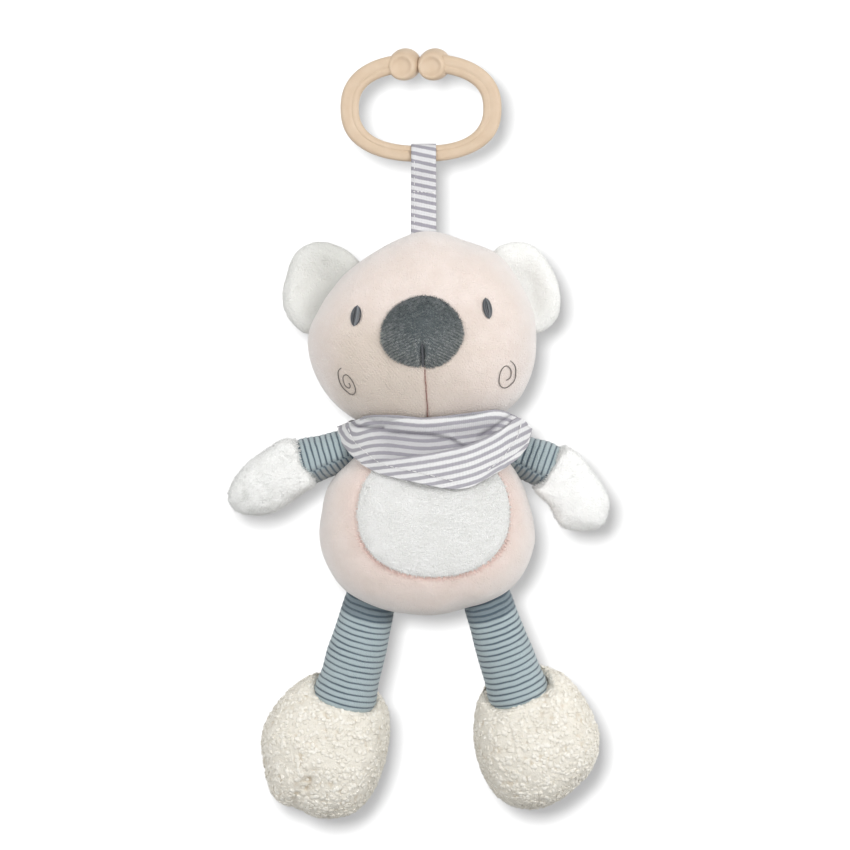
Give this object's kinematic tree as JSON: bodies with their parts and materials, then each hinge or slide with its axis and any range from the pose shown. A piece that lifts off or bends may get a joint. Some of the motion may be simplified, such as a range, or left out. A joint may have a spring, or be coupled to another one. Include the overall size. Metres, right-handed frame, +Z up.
{
  "type": "musical plush bear",
  "caption": "Hanging plush koala bear with striped scarf and ribbed limbs; pulled down from its ring, it plays a tune as the cord winds back in.",
  "frame": {"origin": "under the ring's two knobs, where the bar that the toy hangs on bears", "axes": "+Z up, the face towards -Y, +X to the right as seen from the front"},
  "size_m": [0.1767, 0.0949, 0.3496],
  "materials": {
    "ring_plastic": "satin moulded",
    "striped_cotton": "printed stripe jersey",
    "beige_velour": "short pile velour",
    "white_plush": "plush",
    "grey_plush": "long pile plush",
    "dark_thread": "embroidery thread",
    "ribbed_velour": "ribbed velour",
    "cream_fleece": "curly fleece",
    "stuffing": "polyester fibre",
    "cord": "braided cord",
    "case_plastic": "moulded",
    "steel": "bright",
    "brass": "machined"
  },
  "bodies": {
    "ring": {"hanging_ring": "ring_plastic"},
    "strap": {"strap": "striped_cotton", "pull_cord": "cord"},
    "head": {"head_front": "beige_velour", "head_back": "beige_velour", "head_stuffing": "stuffing", "nose": "grey_plush", "left_eye": "dark_thread", "right_eye": "dark_thread", "left_cheek_spiral": "dark_thread", "right_cheek_spiral": "dark_thread"},
    "left_ear": {"left_ear": "white_plush"},
    "right_ear": {"right_ear": "white_plush"},
    "torso": {"torso_front": "beige_velour", "torso_back": "beige_velour", "torso_stuffing": "stuffing", "tummy_patch": "white_plush", "scarf": "striped_cotton", "case_front": "case_plastic", "case_back": "case_plastic", "case_screw_1": "steel", "case_screw_2": "steel", "case_screw_3": "steel", "case_screw_4": "steel", "bedplate": "steel", "spool_arbor": "steel", "cylinder_arbor": "steel", "idler_arbor": "steel", "governor_arbor": "steel", "mainspring": "steel", "comb": "steel", "comb_block": "brass", "comb_screw_1": "steel", "comb_screw_2": "steel", "cord_eyelet": "brass"},
    "spool": {"cord_spool": "case_plastic", "spool_gear": "brass", "cord_turns": "cord"},
    "cylinder": {"pin_cylinder": "brass", "cylinder_gear": "brass"},
    "idler": {"idler_pinion": "brass", "idler_wheel": "brass"},
    "governor": {"governor_pinion": "brass", "governor_fan": "case_plastic"},
    "left_arm": {"left_sleeve": "ribbed_velour", "left_mitten": "white_plush"},
    "right_arm": {"right_sleeve": "ribbed_velour", "right_mitten": "white_plush"},
    "left_leg": {"left_leg": "ribbed_velour", "left_foot": "cream_fleece"},
    "right_leg": {"right_leg": "ribbed_velour", "right_foot": "cream_fleece"}
  },
  "joints": [
    {"name": "strap_swing", "type": "hinge", "parent": "ring", "child": "strap", "pos_m": [0, 0, -0.0327], "axis": [1, 0, 0], "range_deg": [-70, 70]},
    {"name": "pull_down", "type": "slide", "parent": "strap", "child": "head", "axis": [0, 0, -1], "range_m": [0, 0.1], "stiffness_N_per_m": 20, "springref_m": -0.16, "deforming": ["pull_cord"]},
    {"name": "neck_twist", "type": "hinge", "parent": "head", "child": "torso", "pos_m": [0.0012, 0, -0.16165], "axis": [0, 0, 1], "range_deg": [-25, 25], "stiffness_Nm_per_rad": 0.03},
    {"name": "left_ear_flop", "type": "hinge", "parent": "head", "child": "left_ear", "pos_m": [-0.04539, 0, -0.09487], "axis": [0.4876, 0, 0.8731], "range_deg": [-20, 20], "stiffness_Nm_per_rad": 0.01},
    {"name": "right_ear_flop", "type": "hinge", "parent": "head", "child": "right_ear", "pos_m": [0.04679, 0, -0.09487], "axis": [0.4876, 0, -0.8731], "range_deg": [-20, 20], "stiffness_Nm_per_rad": 0.01},
    {"name": "left_arm_swing", "type": "hinge", "parent": "torso", "child": "left_arm", "pos_m": [-0.02654, 0, -0.16715], "axis": [-0.2756, 0, 0.9613], "range_deg": [-45, 30], "stiffness_Nm_per_rad": 0.008},
    {"name": "right_arm_swing", "type": "hinge", "parent": "torso", "child": "right_arm", "pos_m": [0.03214, 0, -0.16715], "axis": [-0.342, 0, -0.9397], "range_deg": [-45, 30], "stiffness_Nm_per_rad": 0.008},
    {"name": "left_leg_swing", "type": "hinge", "parent": "torso", "child": "left_leg", "pos_m": [-0.0245, 0, -0.23906], "axis": [-0.9744, 0, 0.225], "range_deg": [-35, 70], "stiffness_Nm_per_rad": 0.04},
    {"name": "right_leg_swing", "type": "hinge", "parent": "torso", "child": "right_leg", "pos_m": [0.0301, 0, -0.23906], "axis": [-0.9632, 0, -0.2689], "range_deg": [-35, 70], "stiffness_Nm_per_rad": 0.04},
    {"name": "spool_turn", "type": "hinge", "parent": "torso", "child": "spool", "pos_m": [-0.00915, 0, -0.20056], "axis": [0, 1, 0], "continuous": true},
    {"name": "cylinder_turn", "type": "hinge", "parent": "torso", "child": "cylinder", "pos_m": [0.00661, 0, -0.21287], "axis": [0, 1, 0], "continuous": true},
    {"name": "idler_turn", "type": "hinge", "parent": "torso", "child": "idler", "pos_m": [-0.00199, 0, -0.2189], "axis": [0, 1, 0], "continuous": true},
    {"name": "governor_turn", "type": "hinge", "parent": "torso", "child": "governor", "pos_m": [-0.00987, 0, -0.22029], "axis": [0, 1, 0], "continuous": true}
  ],
  "couplings": [
    {"joint": "spool_turn", "follows": "pull_down", "rad_per_m": -96.618},
    {"joint": "cylinder_turn", "follows": "pull_down", "rad_per_m": 144.93},
    {"joint": "idler_turn", "follows": "pull_down", "rad_per_m": -463.77},
    {"joint": "governor_turn", "follows": "pull_down", "rad_per_m": 1391.3}
  ]
}
